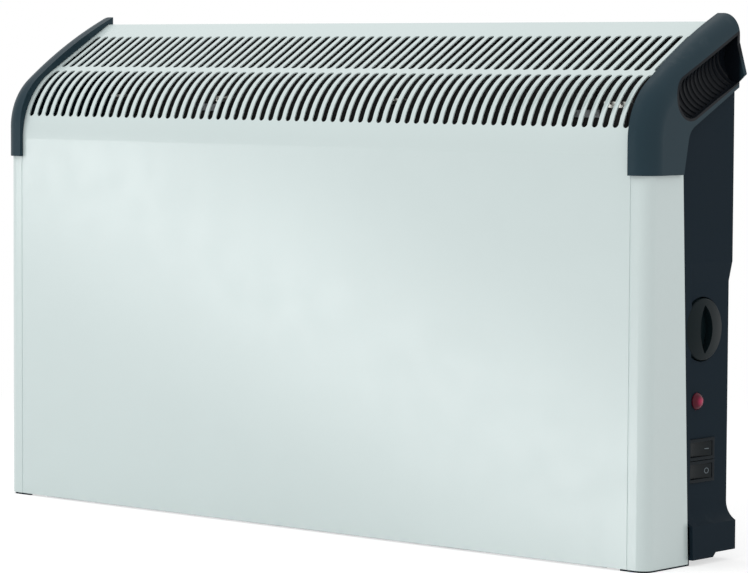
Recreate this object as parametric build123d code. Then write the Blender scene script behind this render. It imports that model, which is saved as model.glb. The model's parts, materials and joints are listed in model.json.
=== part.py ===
from build123d import *
import os
from math import acos, cos, degrees, pi, radians, sin, sqrt, tan

# Fan convector heater, in millimetres.
# X runs along the heater, Y from the front panel's face (y = 0) to the wall, Z up from the front
# panel's lower edge (z = 0). Every piece is moved into the part's own frame when it is saved.

# ---------------------------------------------------------------- driving dimensions
# Front panel: one folded sheet
panel_width = 672.0
half = panel_width / 2
sheet = 1.0                  # steel thickness of the front panel
corner_radius = 9.0          # vertical front corners, outside
return_depth_low = 52.3      # depth of the side returns at the bottom
return_depth_high = 41.0     # and under the end caps
bend_start = 301.0           # height where the front begins to lean back
bend_radius = 65.0
top_slope = 30.8             # degrees above the horizontal
rear_y = 106.5               # wall plane: rear faces of the side panels and caps
top_rear = rear_y - 3.5      # where the sloping top ends
lip_height = 12.0            # the top's rear edge, bent down
lip_radius = 1.4
hem = 12.0                   # inward fold along the bottom
crease_inset = 16.5          # shallow creases beside the front corners
crease_depth = 0.35
crease_width = 1.6
shoulder_overlap = 5.0       # how far the returns run up inside the caps
top_half_width = half - 10.0  # half of the sloping top's width, under the caps

# Grille: two rows of slots
slot_pitch = 9.445
slot_margin = 14.3           # from the last slot's middle to the sheet's end
slot_width = 5.5
front_row = (19.6, 70.8)     # from and to, measured along the sheet from the bend's start
rear_row = (76.6, 127.5)

# End caps
cap_inner = half - 17.5      # inner edge, from the middle
cap_outer = half + 3.0
cap_bottom = bend_start - 14.7
cap_proud = 3.5              # how far the cap stands in front of the panel
cap_wall = 3.0
cap_lip = 2.0                # thickness of the inner edge, which stands on the panel
cap_bend_start = bend_start + 10.0
cap_bend_radius = 52.0
cap_slope = 37.0             # slope of the top where the bend ends
cap_crown_radius = 440.0     # gentle crown of the top from there to the rear
cap_edge_radius = 15.0       # rounding between the cap's top and its side
parting_front = 38.1         # depth of the line between cap and side panel at the lower edge
parting_corner = (44.8, bend_start + 17.2)  # depth and height where it turns to the slope
parting_slope = 27.0
parting_radius = 14.0

# Finger grip in each end cap
grip_radius = 16.1
grip_centre = half + 7.0     # its axis, from the middle
grip_front = (46.1, bend_start + 41.7)  # depth and height of the axis at its front end
grip_slope = 26.0
grip_wall = 3.1
grip_grooves = 14            # rounded grooves, which leave narrow ribs between them
grip_first_groove = -8.0     # place of the first groove along the axis
grip_groove_pitch = 5.0
grip_groove_radius = 1.5
hood_proud = half + 9.6      # the hood's widest point, from the middle
hood_lip = bend_start + 58.5  # its height at the rear
hood_front = (44.0, bend_start + 25.0)  # depth and height where the lip fades into the side
hood_top = (half - 2.6, rear_y, bend_start + 102.0)  # the lip's upper side leans in to here

# Side panels
side_inner = half - 39.5     # inner edge
side_outer = half - 1.3      # upper block, just inside the panel's returns
side_wall = 2.8
recess_face = half - 4.5     # the sunk face that holds the controls
recess_top = 221.0
recess_top_chamfer = 15.0
recess_front = return_depth_low + 3.0
foot_outer = half + 4.1
foot_top = 28.0
foot_flare = 14.0
foot_front_bottom = 3.0
foot_rear_bottom = 6.3
foot_step = 78.2
foot_step_run = 3.5
side_top_rise = 2.5          # how far the side panel runs up inside the cap
side_gap = 0.5               # between the side panel and the edge of the panel's return
tongue_wall = 2.7
tongue_reach = half - 24.0   # where the tongue ends behind the front panel
tongue_top = cap_bottom - 3.0

# Base, back and inner sheets
base_drop = 1.5              # the base tray's underside lies this far below the panel's edge
tray_sheet = 1.2
tray_half = half - 40.0
tray_front = 5.5
tray_rear = rear_y - 6.1
tray_flange = 12.0
inlet_pitch = 18.0
inlet_margin = 35.0          # from the last inlet slot's middle to the tray's end
inlet_width = 6.0
inlet_length = 30.0
inlet_rows = (28.0, 66.0)
back_sheet = 1.0
back_half = half - 20.0
back_rear = rear_y - 4.8
back_bottom = 0.6
back_top = bend_start + 90.0
partition_x = half - 60.0
partition_fold = 12.0
partition_sheet = 1.0
partition_top = bend_start - 1.0
shield_sheet = 0.8
front_shield_y = 14.0
rear_shield_y = rear_y - 14.5
shield_bottom = 78.0
shield_top = bend_start + 11.0
shield_fold = 6.0

# Heating elements
element_radius = 3.25
element_heights = (148.0, 186.0)
element_depths = (40.0, 66.0)
element_left = -(half - 74.0)
element_right = half - 68.0
bead_radius = 4.4            # ceramic ends of the elements
stud_radius = 1.5
stud_end = half - 48.0
support_places = (element_left + 34.0, -108.0, 77.0)
support_sheet = 1.5
support_bottom = 128.0
support_top = 206.0
tab_height = bend_start + 38.0  # the supports' pale tabs reach up under the grille
tab_width = 12.0
tab_depth = 9.0
ear_reach = 15.0             # the right partition's pale ear, beyond its fold
ear_overlap = 8.0

# Fan and motor
fan_y = 55.0
fan_z = 40.0
fan_radius = 25.0
fan_left = -118.0
fan_length = 190.0
fan_blades = 22
blade_thickness = 0.9
blade_depth = 6.0
blade_angle = 32.0
shaft_radius = 2.5
housing_radius = 29.5
housing_sheet = 0.8
disc_sheet = 1.2
motor_gap = 20.0             # from the fan housing's end to the stator
stator_length = 18.0
stator_width = 52.0
stator_height = 56.0
rotor_radius = 13.0
rotor_air_gap = 0.4
bearing_radius = 6.5

# Controls in the right side panel: depth and height of each
knob_place = (73.0, 171.8)
knob_radius = 23.0
knob_rim = recess_face + 2.1  # the rim's outer face
knob_dome = 2.4              # how far the knob's middle stands above its rim
knob_edge = 1.4              # rounding of the rim
knob_back = recess_face - 6.9
well_radius = knob_radius + 1.0
well_floor = recess_face - 7.5
eye_height = 36.0            # the long finger slot in the knob
eye_width = 15.0
eye_depth = 6.5
spindle_radius = 3.0
bush_radius = 4.9
nut_flats = 14.0
nut_thickness = 2.6
thermostat_box = (32.0, 36.0, 27.0)
neon_place = (67.2, 119.0)
neon_radius = 6.3
neon_stem = 4.8
neon_proud = 3.6
neon_holder_length = 22.0
switch_y = 72.2              # middle of both switches
switch_length = 33.4
switch_height = 16.1
switch_heights = (66.6, 83.0)
switch_flange = 1.4
switch_depth = 21.0
switch_body_length = 29.0
switch_body_height = 12.6
rocker_length = 25.6
rocker_height = 10.4
rocker_tilt = 7.0            # lean of each rocker at rest, either way of its middle
rocker_pivot = recess_face - 4.3
rocker_pin = 1.5
rocker_scoop = 1.2           # depth of the key's hollowed face

# Electrical inlet and small pieces
gland_place = (half - 48.6, 24.0)  # across and up
gland_bore = 4.0
gland_radius = 6.2
gland_flange = 8.5
screw_radius = 1.7
screw_head = 3.6
screw_head_height = 2.0
case_screw_x = half - 29.0
case_screw_heights = (64.0, bend_start - 45.0)
cap_screw = (half - 27.5, bend_start + 63.0)
bracket_half = 240.0
bracket_bottom = bend_start + 19.0
bracket_top = bracket_bottom + 32.0
bracket_sheet = 1.5
hook_x = 200.0
hook_width = 24.0
hook_rise = 12.0
bracket_hole_spacing = 240.0
bracket_hole_radius = 2.75
hook_web = bracket_bottom + 13.0  # height of the hooks' upper face, which carries the back panel

cutout_place = (-90.0, 236.0)
wire_bend = 2.4

# Clearances
seat = 0.3                   # between pieces that rest on each other
running = 0.05               # radial, between a shaft and its bearing

# ---------------------------------------------------------------- worked out from these
frame_move = Pos(0, -(rear_y - cap_proud) / 2, base_drop)
bend_sweep = 90.0 - top_slope
bend_length = bend_radius * radians(bend_sweep)
slope_start = (
    bend_radius * (1 - cos(radians(bend_sweep))),
    bend_start + bend_radius * sin(radians(bend_sweep)),
)
slot_count = 2 * int((top_half_width - slot_margin) / slot_pitch) + 1
inlet_slots = 2 * round((tray_half - inlet_margin) / inlet_pitch + 0.5)
parting_rear = parting_corner[1] + (rear_y - parting_corner[0]) * tan(radians(parting_slope))
back_front = back_rear - back_sheet
tray_top = -base_drop + tray_sheet
thermostat_front = well_floor - side_wall - seat
spindle_end = knob_rim + knob_dome - eye_depth - 2.0
fan_right = fan_left + fan_length
stator_left = fan_right + motor_gap
stator_right = stator_left + stator_length


# ---------------------------------------------------------------- helpers
def save(name, *pieces):
    """Write one sub-part, in the part's own frame."""
    solids = [solid for piece in pieces for solid in (frame_move * piece).solids()]
    shape = solids[0] if len(solids) == 1 else Compound(solids)
    export_step(shape, f"parts/{name}.step")


def block(x0, x1, y0, y1, z0, z1):
    """A box between two corners."""
    middle = Pos((x0 + x1) / 2, (y0 + y1) / 2, (z0 + z1) / 2)
    return middle * Box(x1 - x0, y1 - y0, z1 - z0)


def rod_x(radius, x0, x1, y, z):
    """A cylinder along X."""
    return Pos((x0 + x1) / 2, y, z) * Rot(0, 90, 0) * Cylinder(radius, x1 - x0)


def rod_y(radius, x, y0, y1, z):
    """A cylinder along Y."""
    return Pos(x, (y0 + y1) / 2, z) * Rot(90, 0, 0) * Cylinder(radius, y1 - y0)


def side_prism(edges, x0, x1):
    """A closed outline in depth and height, pulled along X."""
    face = make_face(Curve() + edges)
    return Pos(x0, 0, 0) * extrude(Plane.YZ * face, amount=x1 - x0)


def plan_prism(edges, z0, z1):
    """A closed outline in X and depth, pulled up."""
    return Pos(0, 0, z0) * extrude(make_face(Curve() + edges), amount=z1 - z0)


def front_prism(edges, y0, y1):
    """A closed outline in X and height, pulled from y0 back to y1."""
    face = make_face(Curve() + edges)
    return Pos(0, y1, 0) * extrude(Plane.XZ * face, amount=y1 - y0)


def other_side(piece):
    """The same piece for the left end."""
    return mirror(piece, about=Plane.YZ)


def slope_height(y, inset=0.0):
    """Height of the sloping top at a depth, moved into the sheet by inset."""
    rise = (y - slope_start[0]) * tan(radians(top_slope))
    return slope_start[1] + rise - inset / cos(radians(top_slope))


def along_sheet(length):
    """Point on the sheet's outside and its outward angle, at a length from the bend's start."""
    if length < bend_length:
        turn = length / bend_radius
        point = (bend_radius * (1 - cos(turn)), bend_start + bend_radius * sin(turn))
        return point, 180.0 - turn * 180.0 / pi
    run = length - bend_length
    point = (
        slope_start[0] + run * cos(radians(top_slope)),
        slope_start[1] + run * sin(radians(top_slope)),
    )
    return point, 90.0 + top_slope


def under_sheet(inset, bottom, x_half):
    """All the space under the panel's line, moved inwards by inset, down to bottom."""
    radius = bend_radius - inset
    bend_end = (
        bend_radius - radius * cos(radians(bend_sweep)),
        bend_start + radius * sin(radians(bend_sweep)),
    )
    rear = top_rear - inset
    centre = (top_rear - lip_radius, slope_height(top_rear - lip_radius, lip_radius))
    corner = CenterArc(centre, lip_radius - inset, 0, 90 + top_slope)
    edges = [
        Line((inset, bottom), (inset, bend_start)),
        CenterArc((bend_radius, bend_start), radius, 180, -bend_sweep),
        Line(bend_end, corner @ 1),
        corner,
        Line(corner @ 0, (rear, bottom)),
        Line((rear, bottom), (inset, bottom)),
    ]
    return side_prism(edges, -x_half, x_half)


# ---------------------------------------------------------------- front panel
def slot_tool(reach):
    """Cutter for one slot of a row, at x = 0, with round ends."""
    start, end = reach[0] + slot_width / 2, reach[1] - slot_width / 2
    over, under = 3.0, 3.0
    steps = []
    if start < bend_length:
        arc_end = min(end, bend_length)
        turn = (arc_end - start) / bend_radius * 180 / pi
        first = 180.0 - start / bend_radius * 180 / pi
        outer = CenterArc((bend_radius, bend_start), bend_radius + over, first, -turn)
        inner = CenterArc((bend_radius, bend_start), bend_radius - under, first, -turn)
        sides = [Line(outer @ 0, inner @ 0), Line(outer @ 1, inner @ 1)]
        steps.append(side_prism([outer, inner] + sides, -slot_width / 2, slot_width / 2))
    if end > bend_length:
        flat_start = max(start, bend_length)
        point, angle = along_sheet((flat_start + end) / 2)
        length = end - flat_start
        bar = Box(slot_width, length, over + under)
        steps.append(Pos(0, *point) * Rot(top_slope, 0, 0) * bar)
    for place in (start, end):
        point, angle = along_sheet(place)
        steps.append(Pos(0, *point) * Rot(angle - 90, 0, 0) * Cylinder(slot_width / 2, over + under))
    tool = steps[0]
    for step in steps[1:]:
        tool = tool + step
    return tool


def front_panel():
    """Folded sheet: front, side returns, slotted sloping top, rear lip and bottom hem."""
    top = under_sheet(0, 0, top_half_width) - under_sheet(sheet, -5, top_half_width + 5)
    lip_bottom = slope_height(top_rear) - lip_height
    top = top - block(-half, half, top_rear - 2 * sheet, top_rear + 5, -10, lip_bottom)

    shoulder = cap_bottom + shoulder_overlap
    skirt = plan_prism(rounded_plan(half, 0, return_depth_low + 3, corner_radius), 0, shoulder)
    inner_corner = corner_radius - sheet
    inside = rounded_plan(half - sheet, sheet, return_depth_low + 5, inner_corner)
    skirt = skirt - plan_prism(inside, -1, shoulder + 1)
    lean = [
        Line((return_depth_low, -2), (return_depth_low + 20, -2)),
        Line((return_depth_low + 20, -2), (return_depth_low + 20, shoulder + 2)),
        Line((return_depth_low + 20, shoulder + 2), (return_depth_high, shoulder + 2)),
        Line((return_depth_high, shoulder + 2), (return_depth_low, -2)),
    ]
    skirt = skirt - side_prism(lean, -half - 5, half + 5)
    hidden = parting_front - cap_wall
    skirt = skirt - block(-half - 5, half + 5, hidden, return_depth_low, cap_bottom, shoulder + 5)
    fold = block(-tongue_reach + 1, tongue_reach - 1, sheet / 2, hem, 0, sheet)
    panel = top + skirt + fold
    for side in (-1, 1):
        middle = side * (half - crease_inset)
        edge = crease_width / 2
        crease = block(middle - edge, middle + edge, -1, crease_depth, -1, shoulder + 1)
        panel = panel - crease
    first = -(slot_count - 1) / 2 * slot_pitch
    tools = []
    for reach in (front_row, rear_row):
        tool = slot_tool(reach)
        tools += [Pos(first + index * slot_pitch, 0, 0) * tool for index in range(slot_count)]
    return panel - tools


def rounded_plan(x_half, front, rear, radius):
    """Outline in X and depth: straight sides, straight rear, two round front corners."""
    return [
        Line((-x_half, rear), (-x_half, front + radius)),
        CenterArc((-x_half + radius, front + radius), radius, 180, 90),
        Line((-x_half + radius, front), (x_half - radius, front)),
        CenterArc((x_half - radius, front + radius), radius, 270, 90),
        Line((x_half, front + radius), (x_half, rear)),
        Line((x_half, rear), (-x_half, rear)),
    ]


# ---------------------------------------------------------------- end caps
def cap_top_edges(inset, rear):
    """The cap's bend and crown, moved inwards by inset, back to a depth."""
    turn = 90.0 - cap_slope
    bend_centre = (-cap_proud + cap_bend_radius, cap_bend_start)
    shift = cap_crown_radius - cap_bend_radius
    crown_centre = (
        bend_centre[0] + shift * cos(radians(turn)),
        bend_centre[1] - shift * sin(radians(turn)),
    )
    radius = cap_crown_radius - inset
    end_angle = degrees(acos((rear - crown_centre[0]) / radius))
    return [
        CenterArc(bend_centre, cap_bend_radius - inset, 180, -turn),
        CenterArc(crown_centre, radius, 180 - turn, end_angle - 180 + turn),
    ]


def cap_edges(inset, open_below=False):
    """Side outline of the cap. An open one runs straight down, for the hollow inside."""
    front = -cap_proud + inset
    rear = rear_y - inset
    edges = cap_top_edges(inset, rear)
    top = edges[-1] @ 1
    if open_below:
        low = cap_bottom - 20
        edges += [Line(top, (rear, low)), Line((rear, low), (front, low))]
        return edges + [Line((front, low), (front, cap_bend_start))]
    edges += [Line(top, (rear, parting_rear)), *parting_line().edges()]
    edges += [Line((parting_front, cap_bottom), (front, cap_bottom))]
    return edges + [Line((front, cap_bottom), (front, cap_bend_start))]


def parting_line():
    """The line between cap and side panel, from the rear down to the cap's lower edge."""
    return FilletPolyline(
        (rear_y, parting_rear), parting_corner, (parting_front, cap_bottom), radius=parting_radius
    )


def cap_form(inset, x_start, x_end, edge_radius):
    """Solid under the cap's top with a rounded outer edge, running past the rear."""
    front = -cap_proud + inset
    rear = rear_y + 20
    low = cap_bottom - 20
    edges = cap_top_edges(inset, rear)
    edges += [Line(edges[-1] @ 1, (rear, low)), Line((rear, low), (front, low))]
    edges += [Line((front, low), (front, cap_bend_start))]
    form = side_prism(edges, x_start, x_end)
    rounded = [
        edge for edge in form.edges()
        if abs(edge.center().X - x_end) < 0.01
        and edge.center().Z > low + 1
        and edge.center().Y < rear - 1
    ]
    return fillet(rounded, edge_radius)


def grip(radius, rear):
    """Round-fronted trough along the grip's axis, from its front end back to a depth."""
    length = (rear - grip_front[0]) / cos(radians(grip_slope)) + radius
    ball = Pos(grip_centre, *grip_front) * Sphere(radius)
    along = Pos(grip_centre, *grip_front) * Rot(grip_slope, 0, 0) * Rot(-90, 0, 0)
    tube = along * Cylinder(radius, length, align=(Align.CENTER, Align.CENTER, Align.MIN))
    return (ball + tube) & block(0, half + 60, -20, rear, cap_bottom - 20, bend_start + 160)


def hood():
    """The cap's side, which leans out to the rear over the finger grip."""
    wide = side_prism(cap_edges(0), cap_outer - cap_wall, hood_proud + 1)
    # above the lip the side leans in towards the top
    upper = Plane(
        (hood_proud, rear_y, hood_lip),
        x_dir=(hood_proud - cap_outer, rear_y - hood_front[0], hood_lip - hood_front[1]),
        z_dir=hood_normal(hood_top),
    )
    lower = Plane(
        (hood_proud, rear_y, hood_lip),
        x_dir=(hood_proud - cap_outer, rear_y - hood_front[0], hood_lip - hood_front[1]),
        z_dir=hood_normal((side_outer, rear_y, parting_rear)),
    )
    wide = split(wide, bisect_by=upper, keep=Keep.BOTTOM)
    return split(wide, bisect_by=lower, keep=Keep.BOTTOM)


def hood_normal(third):
    """Outward normal of the plane through the hood's lip line and a third point."""
    start = Vector(cap_outer, *hood_front)
    lip = Vector(hood_proud, rear_y, hood_lip)
    normal = (lip - start).cross(Vector(*third) - start)
    return normal if normal.X > 0 else -normal


def grip_groove(place):
    """Ring cutter for one groove of the trough, at a distance along the grip's axis."""
    across = sqrt(grip_radius**2 - min(place, 0) ** 2)
    along = Pos(grip_centre, *grip_front) * Rot(grip_slope, 0, 0) * Rot(-90, 0, 0)
    return along * Pos(0, 0, place) * Torus(across, grip_groove_radius)


def right_end_cap():
    """Moulded cap over the panel's right end, with a ribbed finger grip in its side."""
    shell = cap_form(0, cap_inner, cap_outer, cap_edge_radius)
    shell = shell & side_prism(cap_edges(0), cap_inner, cap_outer)
    body = shell + hood()
    hollow = cap_form(cap_wall, cap_inner - 5, half + seat, corner_radius)
    hollow = hollow & block(0, half + 5, -20, rear_y - cap_wall, 0, 500)
    cap = body - hollow
    lip = side_prism(cap_edges(cap_wall - 1, open_below=True), cap_inner, cap_inner + cap_lip)
    lip = lip & block(0, half, -10, rear_y, cap_bottom, 500)
    lip = lip - under_sheet(-seat, 200, half) - block(0, half, top_rear, rear_y, 200, back_top + 8)
    tub = grip(grip_radius + grip_wall, rear_y - cap_wall + 0.5) & body
    cap = cap + lip + tub
    cap = cap - grip(grip_radius, rear_y - cap_wall)
    inside = block(0, cap_outer - 2.5, -20, rear_y - cap_wall, 200, 500)
    for index in range(grip_grooves):
        cap = cap - (grip_groove(grip_first_groove + index * grip_groove_pitch) & inside)
    lug_x, lug_z = cap_screw
    lug_front = back_rear + seat
    lug = block(lug_x - 7, cap_inner + 3, rear_y - cap_wall, rear_y, lug_z - 8, lug_z + 8)
    lug = lug + rod_y(5.0, lug_x, lug_front, rear_y - cap_wall + 0.5, lug_z)
    lug = lug - screw_hole(lug_x, lug_z)
    return cap + lug


# ---------------------------------------------------------------- screws
def screw_hole(x, z):
    """Hole and counterbore for a screw driven from the rear."""
    head = rod_y(screw_head + seat, x, rear_y - screw_head_height - seat, rear_y + 5, z)
    return head + rod_y(screw_radius + seat, x, back_front - 20, rear_y, z)


def rear_screw(x, z):
    """A pan-head screw through the moulding into the back panel."""
    head = rod_y(screw_head, x, rear_y - screw_head_height, rear_y - 0.1, z)
    slot = block(x - 2.4, x + 2.4, rear_y - 0.8, rear_y + 1, z - 0.4, z + 0.4)
    cross = block(x - 0.4, x + 0.4, rear_y - 0.8, rear_y + 1, z - 2.4, z + 2.4)
    shank = rod_y(screw_radius, x, back_front - 6, rear_y - screw_head_height, z)
    return head + shank - slot - cross


# ---------------------------------------------------------------- side panels
def side_shape(inset):
    """The exposed part of the right side panel, with every face moved inwards by inset."""
    low = foot_rear_bottom + inset
    front_low = foot_front_bottom + inset
    lean = (return_depth_low - return_depth_high) / (cap_bottom + shoulder_overlap)
    rise = tan(radians(parting_slope))
    top_rear_z = parting_rear + side_top_rise
    turn_y, turn_z = parting_corner[0], parting_corner[1] + side_top_rise
    tuck = parting_front - cap_wall
    collar = cap_bottom + seat
    outline = [
        (return_depth_low + side_gap - lean * front_low, front_low),
        (foot_step, front_low),
        (foot_step + foot_step_run, low),
        (rear_y - inset, low),
        (rear_y - inset, top_rear_z - inset * rise),
        (turn_y, turn_z),
        (tuck, turn_z),
        (tuck, collar),
        (return_depth_low + side_gap - lean * collar, collar),
    ]
    side = side_prism(Polyline(*outline, close=True).edges(), side_inner - 2, foot_outer + 1)
    outer = side_outer - inset
    recess = recess_face - inset
    foot = foot_outer - inset
    flare = ThreePointArc(
        (foot, foot_top),
        (foot - (foot - recess) * 0.68, foot_top + foot_flare * 0.36),
        (recess, foot_top + foot_flare),
    )
    edges = [
        Line((side_inner, 0), (foot, 0)),
        Line((foot, 0), (foot, foot_top)),
        flare,
        Line((recess, foot_top + foot_flare), (recess, recess_top - recess_top_chamfer)),
        Line((recess, recess_top - recess_top_chamfer), (outer, recess_top)),
        Line((outer, recess_top), (outer, parting_rear + 50)),
        Line((outer, parting_rear + 50), (side_inner, parting_rear + 50)),
        Line((side_inner, parting_rear + 50), (side_inner, 0)),
    ]
    return side & front_prism(edges, 0, rear_y + 10)


def tongue():
    """Wall that runs forward inside the panel's return and round its corner."""
    outer = side_outer
    radius = corner_radius - sheet - seat
    inner = outer - tongue_wall
    front = sheet + seat
    reach = recess_front
    edges = [
        Line((outer, reach), (outer, front + radius)),
        CenterArc((outer - radius, front + radius), radius, 0, -90),
        Line((outer - radius, front), (tongue_reach, front)),
        Line((tongue_reach, front), (tongue_reach, front + tongue_wall)),
        Line((tongue_reach, front + tongue_wall), (outer - radius, front + tongue_wall)),
        CenterArc((outer - radius, front + radius), radius - tongue_wall, 270, 90),
        Line((inner, front + radius), (inner, reach)),
        Line((inner, reach), (outer, reach)),
    ]
    return plan_prism(edges, -base_drop, tongue_top)


def tongue_foot():
    """Floor of the tongue: the heater stands on it and on the base tray."""
    front = hem + seat
    return block(tray_half + 2, side_outer, front, recess_front, -base_drop, 1.2)


def plain_side_panel():
    """Right side panel with no openings."""
    above = block(0, side_outer - side_wall, 0, rear_y - side_wall, recess_top, parting_rear + 50)
    front = block(0, recess_face - side_wall, 0, recess_front + 2, foot_top, recess_top + 5)
    shell = side_shape(0) - side_shape(side_wall) - above - front
    skin = side_prism(cap_edges(0), 0, foot_outer + 5)
    skin = skin - side_prism(cap_edges(cap_wall + seat, open_below=True), -5, foot_outer + 10)
    panel = shell + tongue() + tongue_foot() - skin
    for z in case_screw_heights:
        boss = rod_y(5.0, case_screw_x, back_rear + seat, rear_y - side_wall + 0.5, z)
        panel = panel + boss - screw_hole(case_screw_x, z)
    return panel


def right_side_panel():
    """Side panel with the knob's well and the openings for the lamp and switches."""
    y, z = knob_place
    panel = plain_side_panel()
    cup = rod_x(well_radius + side_wall, well_floor - side_wall, recess_face, y, z)
    panel = panel + cup - rod_x(well_radius, well_floor, foot_outer + 5, y, z)
    panel = panel - rod_x(bush_radius + seat, well_floor - 20, well_floor + 5, y, z)
    panel = panel - rod_x(neon_stem + seat, recess_face - 20, recess_face + 5, *neon_place)
    for middle in switch_heights:
        panel = panel - block(
            recess_face - 20, recess_face + 5,
            switch_y - switch_body_length / 2 - seat, switch_y + switch_body_length / 2 + seat,
            middle - switch_body_height / 2 - seat, middle + switch_body_height / 2 + seat,
        )
    return panel


# ---------------------------------------------------------------- sheets inside and behind
def base_tray():
    """Steel floor with the air inlet's slots and an upright flange at the rear."""
    top = tray_top
    plate = block(-tray_half, tray_half, tray_front, tray_rear, -base_drop, top)
    flange = block(-tray_half, tray_half, tray_rear - tray_sheet, tray_rear, top - 0.1, tray_flange)
    ends = block(
        -tray_half, -tray_half + tray_sheet, tray_front + 12, tray_rear - 12, top - 0.1, tray_flange - 3
    )
    plate = plate + flange + ends + other_side(ends)
    first = -(inlet_slots - 1) / 2 * inlet_pitch
    tools = []
    for index in range(inlet_slots):
        x = first + index * inlet_pitch
        for y in inlet_rows:
            slot = block(
                x - inlet_width / 2, x + inlet_width / 2,
                y - (inlet_length - inlet_width) / 2, y + (inlet_length - inlet_width) / 2,
                -base_drop - 1, top + 1,
            )
            for end in (-1, 1):
                middle = y + end * (inlet_length - inlet_width) / 2
                slot = slot + Pos(x, middle, 0) * Cylinder(inlet_width / 2, 6)
            tools.append(slot)
    return plate - tools


def back_panel():
    """Flat steel back with the hanging slots, the gland's hole and the screw holes."""
    plate = block(-back_half, back_half, back_front, back_rear, back_bottom, back_top)
    x_hole, z_hole = gland_place
    plate = plate - rod_y(gland_radius + 0.1, x_hole, back_front - 5, back_rear + 5, z_hole)
    corner = block(
        tray_half, back_half + 5, back_front - 5, back_rear + 5, -5, foot_rear_bottom + side_wall + seat
    )
    plate = plate - corner - other_side(corner)
    for side in (-1, 1):
        for z in case_screw_heights:
            plate = plate - rod_y(
                screw_radius + running, side * case_screw_x, back_front - 5, back_rear + 5, z
            )
        plate = plate - rod_y(
            screw_radius + running, side * cap_screw[0], back_front - 5, back_rear + 5, cap_screw[1]
        )
        x0 = side * hook_x - hook_width / 2 - 2
        hook_slot = block(
            x0, x0 + hook_width + 4, back_front - 5, back_rear + 5,
            hook_web - bracket_sheet - 6, hook_web + seat,
        )
        plate = plate - hook_slot
    return plate


def wall_bracket():
    """Steel strip for the wall. Its two hooks pass through the back and carry the heater."""
    strip = block(
        -bracket_half, bracket_half, rear_y - bracket_sheet, rear_y, bracket_bottom, bracket_top
    )
    for side in (-1, 1):
        x0 = side * hook_x - hook_width / 2
        x1 = x0 + hook_width
        front = back_front - 1.2 - bracket_sheet
        web = block(x0, x1, front, rear_y, hook_web - bracket_sheet, hook_web)
        rise = block(x0, x1, front, front + bracket_sheet, hook_web - bracket_sheet, hook_web + hook_rise)
        strip = strip + web + rise
    for side in (-1, 1):
        x = side * bracket_hole_spacing / 2
        z = (bracket_bottom + bracket_top) / 2
        strip = strip - rod_y(bracket_hole_radius, x, rear_y - 10, rear_y + 10, z)
    return strip


def right_partition(eared):
    """Upright sheet between the hot middle and the controls, folded at front and rear."""
    x1 = partition_x + partition_sheet
    front = front_shield_y + shield_sheet + seat
    rear = tray_rear - tray_sheet - seat
    wall = block(partition_x, x1, front, rear, tray_top + seat, partition_top)
    fold_front = block(
        x1 - 0.1, x1 + partition_fold, front, front + partition_sheet, tray_top + seat, partition_top
    )
    fold_rear = block(x1 - 0.1, x1 + partition_fold, rear - partition_sheet, rear, 40, partition_top)
    foot = block(
        x1 - 0.1, x1 + partition_fold - 3, front + 3, rear - 6,
        tray_top + seat, tray_top + seat + partition_sheet,
    )
    partition = wall + fold_front + fold_rear + foot
    if eared:
        low, end = partition_top - ear_overlap, x1 + partition_fold + ear_reach
        start = end - ear_reach - 6
        upright = block(start, end, front, front + partition_sheet, low, tab_height)
        top = tab_height - partition_sheet
        partition = partition + upright
        partition = partition + block(end - tab_width, end, front, front + tab_depth, top, tab_height)
    for z in element_heights:
        for y in element_depths:
            partition = partition - rod_x(bead_radius + seat, partition_x - 5, x1 + 5, y, z)
    return partition


def front_heat_shield():
    """Sheet between the hot middle and the front panel, folded forward along its top."""
    reach = partition_x + partition_sheet + partition_fold
    y = front_shield_y
    plate = block(-reach, reach, y, y + shield_sheet, shield_bottom, shield_top)
    return plate + block(-reach, reach, y - shield_fold, y + 0.1, shield_top - shield_sheet, shield_top)


def rear_heat_shield():
    """Sheet between the hot middle and the back panel, folded rearward along its top."""
    reach = partition_x - seat
    y = rear_shield_y
    plate = block(-reach, reach, y, y + shield_sheet, shield_bottom, shield_top)
    fold_rear = y + shield_sheet + shield_fold
    under = shield_top - shield_sheet
    return plate + block(-reach, reach, y + shield_sheet - 0.1, fold_rear, under, shield_top)


# ---------------------------------------------------------------- heating elements
def heating_element(z):
    """Sheathed hairpin: two legs joined by a round bend at the left end."""
    front, rear = element_depths
    bend = (rear - front) / 2
    start = element_left + bend
    legs = rod_x(element_radius, start, element_right, front, z)
    legs = legs + rod_x(element_radius, start, element_right, rear, z)
    ring = Pos(start, (front + rear) / 2, z) * Torus(bend, element_radius)
    ring = ring & block(start - 60, start, 0, 150, z - 20, z + 20)
    return legs + ring


def element_terminals():
    """Ceramic-ended studs on the four legs of the elements."""
    pieces = []
    for z in element_heights:
        for y in element_depths:
            bead = rod_x(bead_radius, element_right, partition_x + partition_sheet + 3, y, z)
            stud = rod_x(stud_radius, element_right + 5, stud_end, y, z)
            pieces.append(bead + stud)
    return pieces


def element_support(x):
    """Pierced plate that carries the elements, with a pale tab reaching up to the grille."""
    x1 = x + support_sheet
    front = front_shield_y + shield_sheet + seat
    rear = rear_shield_y - seat
    plate = block(x, x1, front, rear, support_bottom, support_top)
    neck = block(x, x1, front, front + tab_depth, support_top, tab_height)
    tab = block(x, x + tab_width, front, front + tab_depth, tab_height - support_sheet, tab_height)
    plate = plate + neck + tab
    for z in element_heights:
        for y in element_depths:
            plate = plate - rod_x(element_radius + seat, x - 5, x1 + 5, y, z)
    for side, y in ((0, front), (1, rear)):
        y0 = y if side == 0 else y - support_sheet
        plate = plate + block(x, x + 12, y0, y0 + support_sheet, support_bottom, support_bottom + 14)
    return plate


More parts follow.
